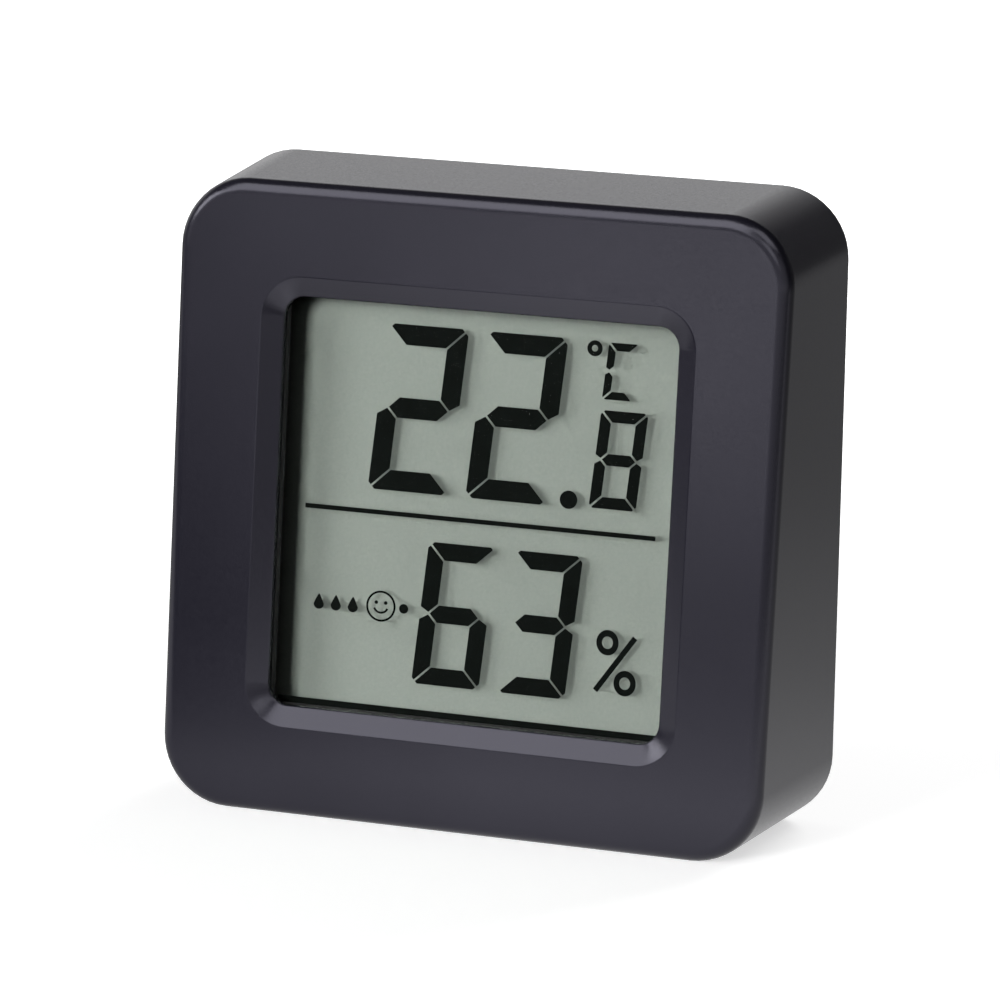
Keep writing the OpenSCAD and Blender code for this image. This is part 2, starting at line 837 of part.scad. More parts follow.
module switch_plunger() {
    color([0.12, 0.12, 0.13])
        on_board(button_offset, switch_z, stem_top)
            face_pin(stem_diameter / 2, stem_end, stem_top);
}

module display_gasket() {
    color([0.08, 0.08, 0.09])
        on_face()
            face_frame(film_size, gasket_inner, gasket_depth, film_depth);
}

module front_polariser() {
    color(clear_glass)
        on_face()
            face_plate(film_size, film_depth, front_glass_depth);
}

module front_glass() {
    color(clear_glass)
        on_face()
            face_plate(front_glass_size, front_glass_depth, seal_depth);
}

module display_seal() {
    color([0.6, 0.62, 0.55])
        on_face()
            face_frame(rear_glass_size, seal_inner, seal_depth, rear_glass_depth);
}

module rear_glass() {
    color(clear_glass)
        on_face()
            face_plate(rear_glass_size, rear_glass_depth, reflector_depth);
}

module display_reflector() {
    color([0.6, 0.62, 0.58])
        on_face()
            face_plate(reflector_size, reflector_depth, reflector_depth + reflector_thickness);
}

module zebra_strip(sign) {
    color([0.75, 0.55, 0.62])
        on_face()
            translate([0, 0, sign * (front_glass_size[1] - contact_ledge) / 2])
                face_plate([window_width, connector_width], seal_depth, board_depth);
}

module upper_zebra_strip() {
    zebra_strip(1);
}

module lower_zebra_strip() {
    zebra_strip(-1);
}

module circuit_board() {
    color(board_green)
        difference() {
            on_face()
                face_plate(board_size, board_depth, board_back);
            on_face()
                at_board_screws()
                    face_pin(board_screw_diameter / 2 + guide_gap, board_depth - bite, board_back + bite);
            standing()
                at_cover_screws()
                    rear_pin(cover_boss_diameter / 2 + board_gap, 0, case_depth);
        }
}

module board_screws() {
    color(steel)
        on_face()
            at_board_screws()
                difference() {
                    union() {
                        face_pin(board_head_diameter / 2, board_back, board_head_top);
                        face_pin(board_screw_diameter / 2, board_screw_tip, board_back + board_head_height / 4);
                    }
                    translate([0, board_head_top, 0])
                        cross_recess();
                }
}

blob_x = -board_size[0] / 4;
blob_z = door_z - cell_radius / 2;
blob_sphere = (blob_diameter * blob_diameter / 4 + blob_height * blob_height) / (2 * blob_height);

// A drop of resin: the cap of a sphere that the board cuts off
module chip_blob() {
    color([0.07, 0.07, 0.07])
        on_board(blob_x, blob_z)
            translate([0, board_back, 0])
                rotate([-90, 0, 0])
                    intersection() {
                        translate([0, 0, blob_height - blob_sphere])
                            sphere(blob_sphere, $fn = 96);
                        cylinder(d = blob_diameter + bite, h = blob_height + bite);
                    }
}

chip_pitch = 2 * chip_length;

module chip_row(count, height) {
    for (i = [0 : count - 1])
        translate([0, 0, i * chip_pitch / 2])
            face_plate([chip_length, chip_width], board_back, board_back + height);
}

module chip_resistors() {
    color([0.13, 0.13, 0.14])
        on_board(-blob_x, door_z - cell_radius)
            chip_row(resistor_count, resistor_height);
}

module chip_capacitors() {
    color([0.66, 0.52, 0.36])
        on_board(-blob_x + chip_pitch, door_z - cell_radius)
            chip_row(capacitor_count, capacitor_height);
}

module thermistor() {
    color([0.1, 0.1, 0.1])
        on_board(-bead_offset, row_z - humidity_height / 2 - bead_gap - bead_diameter / 2) {
            translate([0, board_back + bead_standoff, 0])
                sphere(d = bead_diameter);
            for (s = signs)
                translate([s * bead_lead_pitch / 2, 0, 0])
                    face_pin(lead_diameter / 2, board_back, board_back + bead_standoff);
        }
}

humidity_back = board_back + humidity_standoff;

module humidity_sensor() {
    color([0.86, 0.86, 0.82])
        on_board(-air_slot_offset, row_z)
            face_plate([humidity_width, humidity_height], humidity_back, humidity_back + humidity_thickness);
}

module humidity_leads() {
    color(steel)
        on_board(-air_slot_offset, row_z)
            for (s = signs)
                translate([s * humidity_lead_pitch / 2, 0, 0])
                    face_pin(lead_diameter / 2, board_back, humidity_back);
}

module cell_turned() {
    standing()
        translate([0, 0, door_z])
            rear_turned()
                children();
}

can_inner = cell_radius - can_sheet;
seal_outer = can_inner - pilot_gap;
seal_bore = seal_outer - cell_seal;
cap_radius = seal_bore - pilot_gap;
can_edge = cell_front - can_sheet;

module coin_cell_can() {
    color(steel)
        cell_turned()
            polygon([
                [0, cell_back], [cell_radius - cell_bevel, cell_back], [cell_radius, cell_back + cell_bevel],
                [cell_radius, can_edge], [can_inner, can_edge], [can_inner, cell_back + can_sheet],
                [0, cell_back + can_sheet]
            ]);
}

module coin_cell_cap() {
    color(steel)
        cell_turned()
            polygon([
                [0, cell_back + can_sheet], [cap_radius, cell_back + can_sheet],
                [cap_radius, cell_front - cell_bevel], [cap_radius - cell_bevel, cell_front], [0, cell_front]
            ]);
}

module coin_cell_gasket() {
    color([0.15, 0.15, 0.16])
        cell_turned()
            translate([seal_bore, cell_back + can_sheet])
                square([cell_seal, can_edge - cell_back - can_sheet]);
}

// Middle line of the leaf under the cell: height up the face from the cell's centre, and depth
spring_tip = behind(door_z, cell_front) - contact_gap - contact_sheet;
spring_line = [
    [-spring_rise - contact_foot, board_back + contact_sheet / 2],
    [-spring_rise, board_back + contact_sheet / 2],
    [-spring_crown / 2, spring_tip],
    [spring_crown / 2, spring_tip],
    [spring_crown / 2 + 2 * spring_drop, spring_tip - spring_drop]
];

module cell_spring() {
    color(steel)
        on_face()
            translate([-spring_width / 2, 0, up_face(door_z, spring_tip)])
                rotate([90, 0, 90])
                    linear_extrude(spring_width)
                        polygon([for (p = strip_outline(spring_line, contact_sheet / 2)) [p[1], p[0]]]);
}

// Middle line of the strip beside the cell: distance from the centre line, and depth
side_touch = cell_radius + contact_gap + contact_sheet / 2;
side_end = behind(door_z + side_contact_width / 2, collar_end) - 2 * contact_gap;
side_line = [
    [side_touch + contact_foot, board_back + contact_sheet / 2],
    [side_touch, board_back + contact_sheet / 2],
    [side_touch, side_end]
];

module cell_side_contact() {
    color(steel)
        on_face()
            translate([0, 0, up_face(door_z, spring_tip) - side_contact_width / 2])
                linear_extrude(side_contact_width)
                    polygon(strip_outline(side_line, contact_sheet / 2));
}

front_bezel();
rear_cover();
cover_screws();
battery_door();
unit_button();
switch_base();
switch_plunger();
switch_cover();
display_gasket();
front_polariser();
front_glass();
display_seal();
rear_glass();
display_reflector();
upper_zebra_strip();
lower_zebra_strip();
circuit_board();
board_screws();
chip_blob();
chip_resistors();
chip_capacitors();
thermistor();
humidity_sensor();
humidity_leads();
coin_cell_can();
coin_cell_cap();
coin_cell_gasket();
cell_spring();
cell_side_contact();
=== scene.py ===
# %% [markdown]
# # A small room thermometer and hygrometer
#
# The object is a charcoal plastic case, 43 mm wide, that leans back a little and frames a grey-green
# display. The solids come measured and in place from the frame, inside pieces included. This lesson
# adds what a solid lacks: soft edges, finishes, the dark signs of the display, light and a camera.

# %% Load the frame
import json
import math

import bmesh
import bpy
from mathutils import Matrix, Vector


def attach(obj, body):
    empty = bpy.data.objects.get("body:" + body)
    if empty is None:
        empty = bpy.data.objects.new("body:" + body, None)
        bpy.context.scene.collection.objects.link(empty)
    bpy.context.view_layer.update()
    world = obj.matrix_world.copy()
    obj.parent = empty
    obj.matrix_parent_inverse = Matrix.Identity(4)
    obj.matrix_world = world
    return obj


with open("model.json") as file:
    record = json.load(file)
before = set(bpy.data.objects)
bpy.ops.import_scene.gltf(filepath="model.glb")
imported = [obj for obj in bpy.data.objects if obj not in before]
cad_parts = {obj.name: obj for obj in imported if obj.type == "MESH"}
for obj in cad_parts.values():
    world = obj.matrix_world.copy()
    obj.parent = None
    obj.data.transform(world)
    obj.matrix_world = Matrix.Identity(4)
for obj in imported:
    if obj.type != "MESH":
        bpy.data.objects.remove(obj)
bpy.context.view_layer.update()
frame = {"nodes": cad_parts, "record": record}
mm = 0.001
scene = bpy.context.scene
scene.view_settings.view_transform = "Standard"

# %% [markdown]
# ## The camera
#
# The photograph looks down a little on the case, from its right. A camera can be set by eye, but a long
# lens leaves few clues to judge by. Here the outline of the case was fitted to the picture, which gives
# the angles, the distance and the lens together. The angles are counted in the frame of the case, whose
# back plane tips a little, so the rotations are stacked in that order.

# %% Place the camera
rear_face = next(m for m in frame["record"]["mounts"] if m["name"] == "rear_face")
rear_normal = Vector(rear_face["axis"])
rear_middle = Vector((0, *rear_face["pos_m"][1:]))
case_depth = 13 * mm
case_middle = rear_middle - rear_normal * case_depth / 2
case_tip = math.atan2(rear_normal.z, rear_normal.y)

camera_turn = math.radians(19.404)
camera_height = math.radians(12.807)
camera_roll = math.radians(1.019)
camera_distance = 351.8 * mm

camera = bpy.data.objects.new("camera", bpy.data.cameras.new("camera"))
camera.data.sensor_width = 36
camera.data.lens = 192.73
camera.data.clip_start = 10 * mm
camera.matrix_world = (
    Matrix.Translation(case_middle)
    @ Matrix.Rotation(case_tip, 4, "X")
    @ Matrix.Rotation(camera_turn, 4, "Z")
    @ Matrix.Rotation(math.pi / 2 - camera_height, 4, "X")
    @ Matrix.Rotation(camera_roll, 4, "Z")
    @ Matrix.Translation((0, 0, camera_distance))
)
scene.collection.objects.link(camera)
scene.camera = camera
print("camera at", [round(v / mm) for v in camera.matrix_world.translation], "mm")

# %% [markdown]
# ## Colours and nodes
#
# A colour picked from a picture is in sRGB, and a shader works in linear light, so one function turns
# one into the other. Node trees get long when every socket is set by hand. One small function adds a
# node, sets its options, and fills each socket with a value or a link. Another lets a value run through
# stops, which the floor and the room need.

# %% Three helpers for materials


def linear(hex_colour):
    """An sRGB hex colour as the linear colour that a socket takes."""
    parts = [int(hex_colour[i:i + 2], 16) / 255 for i in (1, 3, 5)]
    return (*[c / 12.92 if c <= 0.04045 else ((c + 0.055) / 1.055) ** 2.4 for c in parts], 1.0)


def add(tree, kind, sockets, **options):
    """Adds a node. A socket gets a link if it is given an output, and a value otherwise."""
    made = tree.nodes.new("ShaderNode" + kind)
    for name, value in options.items():
        setattr(made, name, value)
    for name, value in sockets.items():
        if isinstance(value, bpy.types.NodeSocket):
            tree.links.new(value, made.inputs[name])
        else:
            made.inputs[name].default_value = value
    return made


def graded(tree, value, stops):
    """A value that runs through stops, given as pairs of where and how much."""
    low, high = stops[0][0], stops[-1][0]
    place = add(tree, "MapRange", {0: value, 1: low, 2: high})
    ramp = add(tree, "ValToRGB", {0: place.outputs[0]})
    points = ramp.color_ramp.elements
    points[0].color = (*[stops[0][1]] * 3, 1)
    points[1].color = (*[stops[-1][1]] * 3, 1)
    for where, level in stops[1:-1]:
        points.new((where - low) / (high - low)).color = (level, level, level, 1)
    return ramp.outputs[0]


print("charcoal in linear light", [round(v, 3) for v in linear("#2b2a33")[:3]])

# %% [markdown]
# ## A moulded or coated finish
#
# Plastic, resin and foam share one build-up: a colour that drifts slowly from place to place, and a fine
# grain that both lifts the surface and varies its shine. They differ in the sizes, which are given in
# millimetres. The noise is read from Object coordinates, so it stays on the piece when the piece moves.

# %% Build a grained finish


def grained(name, dark, light, shine, grain, lift, drift=7.0, **sockets):
    """A finish with two tones, a range of roughness, and a grain of a size and height in mm."""
    material = bpy.data.materials.new(name)
    material.use_nodes = True
    tree = material.node_tree
    shader = tree.nodes["Principled BSDF"]
    place = add(tree, "TexCoord", {}).outputs["Object"]
    clouds = add(tree, "TexNoise", {"Vector": place, "Scale": 1 / (drift * mm), "Detail": 3.0})
    tone = add(tree, "MapRange", {0: clouds.outputs[0], 1: 0.35, 2: 0.65})
    colour = add(tree, "Mix", {0: tone.outputs[0], 6: linear(dark), 7: linear(light)}, data_type="RGBA")
    pits = add(tree, "TexNoise", {"Vector": place, "Scale": 1 / (grain * mm), "Detail": 2.0})
    gloss = add(tree, "MapRange", {0: pits.outputs[0], 1: 0.3, 2: 0.7, 3: shine[0], 4: shine[1]})
    bump = add(tree, "Bump", {"Height": pits.outputs[0], "Distance": lift * mm})
    tree.links.new(colour.outputs[2], shader.inputs["Base Color"])
    tree.links.new(gloss.outputs[0], shader.inputs["Roughness"])
    tree.links.new(bump.outputs[0], shader.inputs["Normal"])
    for socket, value in sockets.items():
        shader.inputs[socket.replace("_", " ")].default_value = value
    return material


def dress(material, *nodes):
    """Gives solids of the frame a material in place of the plain one."""
    for node in nodes:
        mesh = frame["nodes"][node].data
        mesh.materials.clear()
        mesh.materials.append(material)
    print(material.name, "on", *nodes)


# %% [markdown]
# ## The case
#
# The case is moulded ABS, dyed charcoal with a violet cast. The mould was spark-eroded, so the surface has
# a very fine even grain that turns reflections soft. The real grain is about 0.05 mm; it is drawn at
# 0.16 mm so that it shows at this distance. The bezel, the cover and the door come from one batch.

# %% Finish the case
case_plastic = grained(
    "moulded ABS, charcoal", "#15141c", "#18171f", shine=(0.21, 0.27), grain=0.16, lift=0.003, IOR=1.54,
    Specular_Tint=linear("#f0eeff")
)
button_plastic = grained(
    "moulded ABS, dark grey", "#1d1d22", "#212126", shine=(0.45, 0.55), grain=0.14, lift=0.003, IOR=1.54
)
dress(case_plastic, "front_bezel", "rear_cover", "battery_door")
dress(button_plastic, "unit_button")

# %% [markdown]
# ## Soft edges
#
# A solid from CAD has knife edges, and real moulded edges catch a thin line of light. The mesh of a frame
# solid stays as it is, but modifiers may work on top of it: merge the loose triangles, dissolve the seams
# inside flat sides, bevel what is still sharp, and weight the normals by area so flat sides stay flat.
# The bezel has its own round edges already, so it skips the bevel. The cover has many holes close together,
# and smooth shading would draw faint lines between them, so its flat side is split from its bevels.

# %% Soften the solids


def soften(node, width, crisp=False):
    """Merges a solid's triangles, rounds its edges by a width in mm, and may split off its flat sides."""
    piece = frame["nodes"][node]
    merge = piece.modifiers.new("merge", "WELD")
    merge.merge_threshold = 0.0005 * mm
    if width:
        flat = piece.modifiers.new("flat sides", "DECIMATE")
        flat.decimate_type = "DISSOLVE"
        flat.angle_limit = math.radians(1.5)
        edges = piece.modifiers.new("round edges", "BEVEL")
        edges.width = width * mm
        edges.segments = 2
        edges.limit_method = "ANGLE"
        edges.angle_limit = math.radians(40)
    if crisp:
        crease = piece.modifiers.new("crisp sides", "EDGE_SPLIT")
        crease.split_angle = math.radians(15)
    normals = piece.modifiers.new("even normals", "WEIGHTED_NORMAL")
    normals.keep_sharp = False
    piece.data.shade_smooth()


soften("front_bezel", 0)
soften("rear_cover", 0.12, crisp=True)
for node, width in {
    "battery_door": 0.12, "unit_button": 0.12, "cover_screws": 0.06, "board_screws": 0.06,
    "circuit_board": 0.05, "switch_base": 0.08, "switch_cover": 0.03, "switch_plunger": 0.08,
    "chip_resistors": 0.05, "chip_capacitors": 0.06, "humidity_sensor": 0.06, "coin_cell_can": 0.06,
    "coin_cell_cap": 0.06, "cell_spring": 0.03, "cell_side_contact": 0.03,
}.items():
    soften(node, width)
for node in ("chip_blob", "thermistor", "humidity_leads", "coin_cell_gasket"):
    soften(node, 0)
print("softened", sum(bool(o.modifiers) for o in frame["nodes"].values()), "solids")

# %% [markdown]
# ## The display's layers
#
# Light goes through the film and both glass plates, comes back from a grey-green foil, and stops where
# the liquid crystal is dark. Real refraction would make the renderer lose that light, so the clear layers
# are faintly tinted and nearly all see-through, which keeps shadows and reflections on the foil right.

# %% Finish the clear layers


def clear(name, tints, shine, grain, lift, cover):
    """A grained finish that covers only a small share of what lies behind it."""
    return grained(name, *tints, shine, grain, lift, 4.0, Alpha=cover, IOR=1.5)


film = clear("acetate film, matt", ("#8a938b", "#949d95"), (0.3, 0.4), 0.2, 0.002, 0.004)
glass = clear("soda-lime glass", ("#88958d", "#929f97"), (0.03, 0.06), 1.5, 0.0002, 0.004)
dress(film, "front_polariser")
dress(glass, "front_glass", "rear_glass")
for node in ("front_polariser", "front_glass", "rear_glass"):
    layer = frame["nodes"][node]
    layer.visible_shadow = False
    layer.visible_diffuse = False

# %% [markdown]
# ## The foil behind the glass
#
# The foil is aluminium powder in a matt lacquer: grey-green, with a sparkle of fine flakes. The flakes are
# about 0.05 mm; they are drawn at 0.09 mm so that they show.

# %% Finish the foil and the frames round it
foil = grained(
    "aluminium-filled lacquer, grey-green", "#acb6ac", "#b5beb4", shine=(0.55, 0.75), grain=0.09,
    lift=0.002, drift=0.18, Specular_IOR_Level=0.2
)
dress(foil, "display_reflector")
foam = grained("closed-cell foam, black", "#101012", "#18181a", (0.85, 0.95), 0.12, 0.03, 1.0)
epoxy = grained("cured epoxy, black", "#0a0b0b", "#121414", (0.35, 0.5), 0.1, 0.005, 1.0)
dress(foam, "display_gasket")
dress(epoxy, "display_seal")

# %% [markdown]
# ## Where the signs go
#
# The liquid crystal lies in the thin gap between the plates. The front of the rear plate gives the plane:
# its middle, its normal, and an upward direction. A matrix made from these lets the signs be drawn flat,
# in millimetres from the middle of the window, and set in place at the end.

# %% Find the plane of the signs


def front_of(node):
    """Middle and normal of the flat side of a solid that looks towards the viewer."""
    mesh = frame["nodes"][node].data
    towards = Vector((0, -1, 0))
    normal = max(mesh.polygons, key=lambda p: p.normal.dot(towards) * p.area).normal.normalized()
    corners = [
        mesh.vertices[i].co for p in mesh.polygons if p.normal.dot(normal) > 0.999 for i in p.vertices
    ]
    low = Vector([min(c[i] for c in corners) for i in range(3)])
    high = Vector([max(c[i] for c in corners) for i in range(3)])
    return (low + high) / 2, normal


above_plate = 0.015 * mm
plane_middle, plane_normal = front_of("rear_glass")
right = Vector((1, 0, 0))
sign_place = Matrix((right, plane_normal.cross(right), plane_normal)).transposed().to_4x4()
sign_place.translation = plane_middle + plane_normal * above_plate
print("signs at", [round(v / mm, 2) for v in plane_middle], "facing", [round(v, 3) for v in plane_normal])

# %% [markdown]
# ## Seven bars make a digit
#
# Each bar is a small polygon whose mitred ends meet its neighbours' ends. They are drawn touching, and an
# inset then trims every bar by half of the light gap, so all the gaps come out the same. Four of the bars
# are mirror images of one, and the top and bottom bars of each other.

# %% Draw digits
bar_gap = 0.13
slant = 0.084


def bars(half_width, half_height, stroke):
    """Outlines of the seven bars, by their usual letters."""
    w, h, t, cut = half_width, half_height, stroke, stroke * 0.34
    top = [(cut - w, h), (w - cut, h), (w - cut / 2, h - cut / 2), (w - t, h - t), (t - w, h - t),
           (cut / 2 - w, h - cut / 2)]
    side = [(w - cut / 2, h - cut / 2), (w, h - cut), (w, 0.3 * t), (w - t / 2, 0), (w - t, t / 2),
            (w - t, h - t)]
    middle = [(t / 2 - w, 0), (t - w, t / 2), (w - t, t / 2), (w - t / 2, 0), (w - t, -t / 2),
              (t - w, -t / 2)]
    flip = {"a": (top, 1, 1), "d": (top, 1, -1), "b": (side, 1, 1), "c": (side, 1, -1),
            "e": (side, -1, -1), "f": (side, -1, 1), "g": (middle, 1, 1)}
    return {letter: [(sx * x, sy * y) for x, y in line] for letter, (line, sx, sy) in flip.items()}


def draw_digit(bm, lit, middle, size, stroke):
    """Draws the lit bars of a digit round a middle. All sizes are in mm."""
    outlines = bars((size[0] + bar_gap) / 2, (size[1] + bar_gap) / 2, stroke + bar_gap)
    faces = [bm.faces.new([bm.verts.new((x, y, 0)) for x, y in outlines[letter]]) for letter in lit]
    bm.normal_update()
    trimmed = bmesh.ops.inset_individual(bm, faces=faces, thickness=bar_gap / 2, use_even_offset=True)
    bmesh.ops.delete(bm, geom=trimmed["faces"], context="FACES")
    corners = list({v for face in faces for v in face.verts})
    lean = Matrix(((1, slant, 0, 0), (0, 1, 0, 0), (0, 0, 1, 0), (0, 0, 0, 1)))
    bmesh.ops.transform(bm, verts=corners, matrix=Matrix.Translation((*middle, 0)) @ lean)


signs = bmesh.new()
draw_digit(signs, "abged", (-4.7, 6.56), (5.62, 10.98), 1.35)
draw_digit(signs, "abged", (2.11, 6.56), (5.62, 10.98), 1.35)
draw_digit(signs, "abcdefg", (9.18, 4.4), (3.2, 6.4), 0.76)
draw_digit(signs, "afed", (9.02, 10.15), (2.05, 3.7), 0.52)
draw_digit(signs, "afgecd", (-1.56, -6.78), (4.7, 9.46), 1.16)
draw_digit(signs, "abgcd", (4.38, -6.78), (4.7, 9.46), 1.16)
print("bars drawn", len(signs.faces))

# %% [markdown]
# ## Dots, rings and lines
#
# The small signs are rings, discs and straight strokes. A ring is one short edge spun round a centre, a
# disc is a capped circle, and a stroke is a one-cell grid that a matrix stretches and turns. The comfort
# mark is a plain smiling face, and three drops beside it stand for the level of moisture. The longest
# stroke is painted shade: a dark strip along the lower edge of the display that stands for the shaded gap
# between the display and the window's lower lip.

# %% Draw the small signs


def draw_ring(bm, middle, inner, outer, start=0, sweep=360, tall=1.0, steps=32):
    """A flat band round a middle: an edge from the inner to the outer radius, spun."""
    first = set(bm.verts)
    ends = [bm.verts.new((radius, 0, 0)) for radius in (inner, outer)]
    edge = bm.edges.new(ends)
    bmesh.ops.rotate(bm, verts=ends, matrix=Matrix.Rotation(math.radians(start), 3, "Z"))
    bmesh.ops.spin(
        bm, geom=[*ends, edge], cent=(0, 0, 0), axis=(0, 0, 1), angle=math.radians(sweep), steps=steps,
        use_merge=sweep == 360
    )
    made = [v for v in bm.verts if v not in first]
    stretch = Matrix.Diagonal((1, tall, 1, 1))
    bmesh.ops.transform(bm, verts=made, matrix=Matrix.Translation((*middle, 0)) @ stretch)


def draw_disc(bm, middle, radius):
    """A filled circle."""
    made = bmesh.ops.create_circle(
        bm, cap_ends=True, segments=32, radius=radius, matrix=Matrix.Translation((*middle, 0))
    )
    return made["verts"]


def draw_stroke(bm, start, end, thickness):
    """A straight line with square ends."""
    start, end = Vector((*start, 0)), Vector((*end, 0))
    along = end - start
    place = Matrix.Translation((start + end) / 2) @ Matrix.Rotation(math.atan2(along.y, along.x), 4, "Z")
    stretch = Matrix.Diagonal((along.length, thickness, 1, 1))
    bmesh.ops.create_grid(bm, x_segments=1, y_segments=1, size=0.5, matrix=place @ stretch)


def draw_drop(bm, middle, radius):
    """A drop: a disc whose upper half is drawn out to a point."""
    for corner in draw_disc(bm, middle, radius):
        height = min((corner.co.y - middle[1]) / radius, 1.0)
        if height > 0:
            corner.co.x = middle[0] + (corner.co.x - middle[0]) * (1 - height) ** 0.35
            corner.co.y = middle[1] + height ** 1.4 * radius * 1.9


draw_disc(signs, (5.93, 1.57), 0.6)
draw_ring(signs, (7.2, 11.54), 0.21, 0.52)
draw_stroke(signs, (-12.28, -0.44), (11.95, -0.43), 0.31)
# Painted shade: a dark strip for the shaded gap between the display and the window's lower lip.
draw_stroke(signs, (-13.65, -13.46), (13.65, -13.46), 0.44)
for middle in ((9.08, -7.49), (10.39, -10.05)):
    draw_ring(signs, middle, 0.37, 0.76, tall=1.1)
draw_stroke(signs, (10.94, -7.02), (8.4, -10.69), 0.37)
draw_ring(signs, (-6.66, -6.64), 0.89, 1.03, steps=48)
draw_ring(signs, (-6.66, -6.56), 0.44, 0.58, start=205, sweep=130, steps=16)
for x in (-6.99, -6.33):
    draw_disc(signs, (x, -6.4), 0.125)
draw_disc(signs, (-5.06, -6.66), 0.32)
for x in (-11.03, -9.83, -8.63):
    draw_drop(signs, (x, -6.88), 0.36)
print("flat faces", len(signs.faces))

# %% [markdown]
# ## From flat signs to thin plates
#
# The signs get the thickness of the liquid crystal. An extrusion of flat faces closes their sides and leaves
# the first faces as the back. Seen from the front the crystal is nearly black, but slanting light leaks
# through it, so its shadow on the foil is pale. One object can't be both. The signs are therefore drawn
# without a shadow, and a copy that is thinner to light, and that the camera can't see, throws the pale one.

# %% Thicken the signs and set them in the display
crystal_thickness = 0.02
lifted = bmesh.ops.extrude_face_region(signs, geom=signs.faces[:])
front_corners = [v for v in lifted["geom"] if isinstance(v, bmesh.types.BMVert)]
bmesh.ops.translate(signs, verts=front_corners, vec=(0, 0, crystal_thickness))
bmesh.ops.transform(signs, verts=signs.verts, matrix=sign_place @ Matrix.Scale(mm, 4))
bmesh.ops.recalc_face_normals(signs, faces=signs.faces)
sign_mesh = bpy.data.meshes.new("display_signs")
signs.to_mesh(sign_mesh)
signs.free()
display_signs = bpy.data.objects.new("display_signs", sign_mesh)
scene.collection.objects.link(display_signs)
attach(display_signs, "case")
# This dark material also covers the painted shade strip along the lower edge of the display.
crystal = grained(
    "liquid crystal and painted shade strip, dark", "#030504", "#050807", (0.5, 0.6), 0.1, 0.0005, 1.0, Specular_IOR_Level=0.0
)
sign_mesh.materials.append(crystal)
display_signs.visible_shadow = False
shade = bpy.data.objects.new("display_shade", sign_mesh.copy())
scene.collection.objects.link(shade)
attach(shade, "case")
shade.visible_camera = False
shade.data.materials.clear()
thin_crystal = grained(
    "liquid crystal, slanting light", "#050907", "#080d0a", (0.5, 0.6), 0.1, 0.0005, 1.0, Alpha=0.4
)
shade.data.materials.append(thin_crystal)
print("sign faces", len(sign_mesh.polygons))

# %% [markdown]
# ## Plated metal
#
# Screws are zinc-plated, contacts and the cell nickel-plated. Both are metals: their colour is in the
# reflection, and fine marks from rolling or tumbling scatter it. The marks vary only the roughness and a
# faint bump, because a clean plated piece has no dirt to darken it.

# %% Finish the metal pieces
zinc = grained("zinc-plated steel", "#a9abad", "#b9bbbd", (0.25, 0.4), 0.08, 0.002, 0.6, Metallic=1.0)
nickel = grained(
    "nickel-plated spring steel", "#b5b0a6", "#c2beb4", (0.18, 0.3), 0.1, 0.001, 1.5, Metallic=1.0
)
cell_steel = grained(
    "nickel-plated cell steel", "#b9b8b4", "#c6c5c2", (0.22, 0.32), 0.12, 0.001, 3.0, Metallic=1.0
)
dress(zinc, "cover_screws", "board_screws")
dress(nickel, "switch_cover", "humidity_leads", "cell_spring", "cell_side_contact")
dress(cell_steel, "coin_cell_can", "coin_cell_cap")

# %% [markdown]
# ## Bands, tips and rings
#
# Several inside pieces carry a pattern that a noise can't give: copper lines under the solder mask, tin on
# the ends of a chip, the layers of a rubber connector. Each is a mask made from the place on the piece:
# a coordinate that repeats, or a distance from a middle. Where the mask is 1, a second colour shows.

# %% Build patterns from places


def middle_of(node):
    """Middle of the box round a solid."""
    corners = [Vector(c) for c in frame["nodes"][node].bound_box]
    return sum(corners, Vector()) / 8


def bands(tree, value, pitch, share):
    """1 in the first share of every pitch (in mm) along a value."""
    turns = add(tree, "Math", {0: value, 1: pitch * mm}, operation="DIVIDE")
    part = add(tree, "Math", {0: turns.outputs[0]}, operation="FRACT")
    return add(tree, "Math", {0: part.outputs[0], 1: share}, operation="LESS_THAN").outputs[0]


def beyond(tree, value, reach):
    """1 where a value is further from zero than a reach in mm."""
    far = add(tree, "Math", {0: value}, operation="ABSOLUTE")
    return add(tree, "Math", {0: far.outputs[0], 1: reach * mm}, operation="GREATER_THAN").outputs[0]


def axes_from(tree, middle):
    """The three Object coordinates, counted from a middle."""
    place = add(tree, "TexCoord", {}).outputs["Object"]
    moved = add(tree, "VectorMath", {0: place, 1: middle}, operation="SUBTRACT")
    return add(tree, "SeparateXYZ", {0: moved.outputs[0]}).outputs


def inlay(material, mask, colour, metal=0.0):
    """Shows a second colour, which may be a metal, where a mask is 1."""
    tree = material.node_tree
    shader = tree.nodes["Principled BSDF"]
    under = shader.inputs["Base Color"].links[0].from_socket
    shown = add(tree, "Mix", {0: mask, 6: under, 7: linear(colour)}, data_type="RGBA")
    tree.links.new(shown.outputs[2], shader.inputs["Base Color"])
    if metal:
        share = add(tree, "Math", {0: mask, 1: metal}, operation="MULTIPLY")
        tree.links.new(share.outputs[0], shader.inputs["Metallic"])
    return material


print("middle of the board in mm", [round(v / mm, 1) for v in middle_of("circuit_board")])

# %% [markdown]
# ## The board and what is on it
#
# The board is glass laminate under a green solder mask, with paler lines where copper lies below it. The
# lines of a real board wander; a brick pattern stands for them. The chip is potted in a drop of black
# resin, and the small chips are fired ceramic with tinned ends.

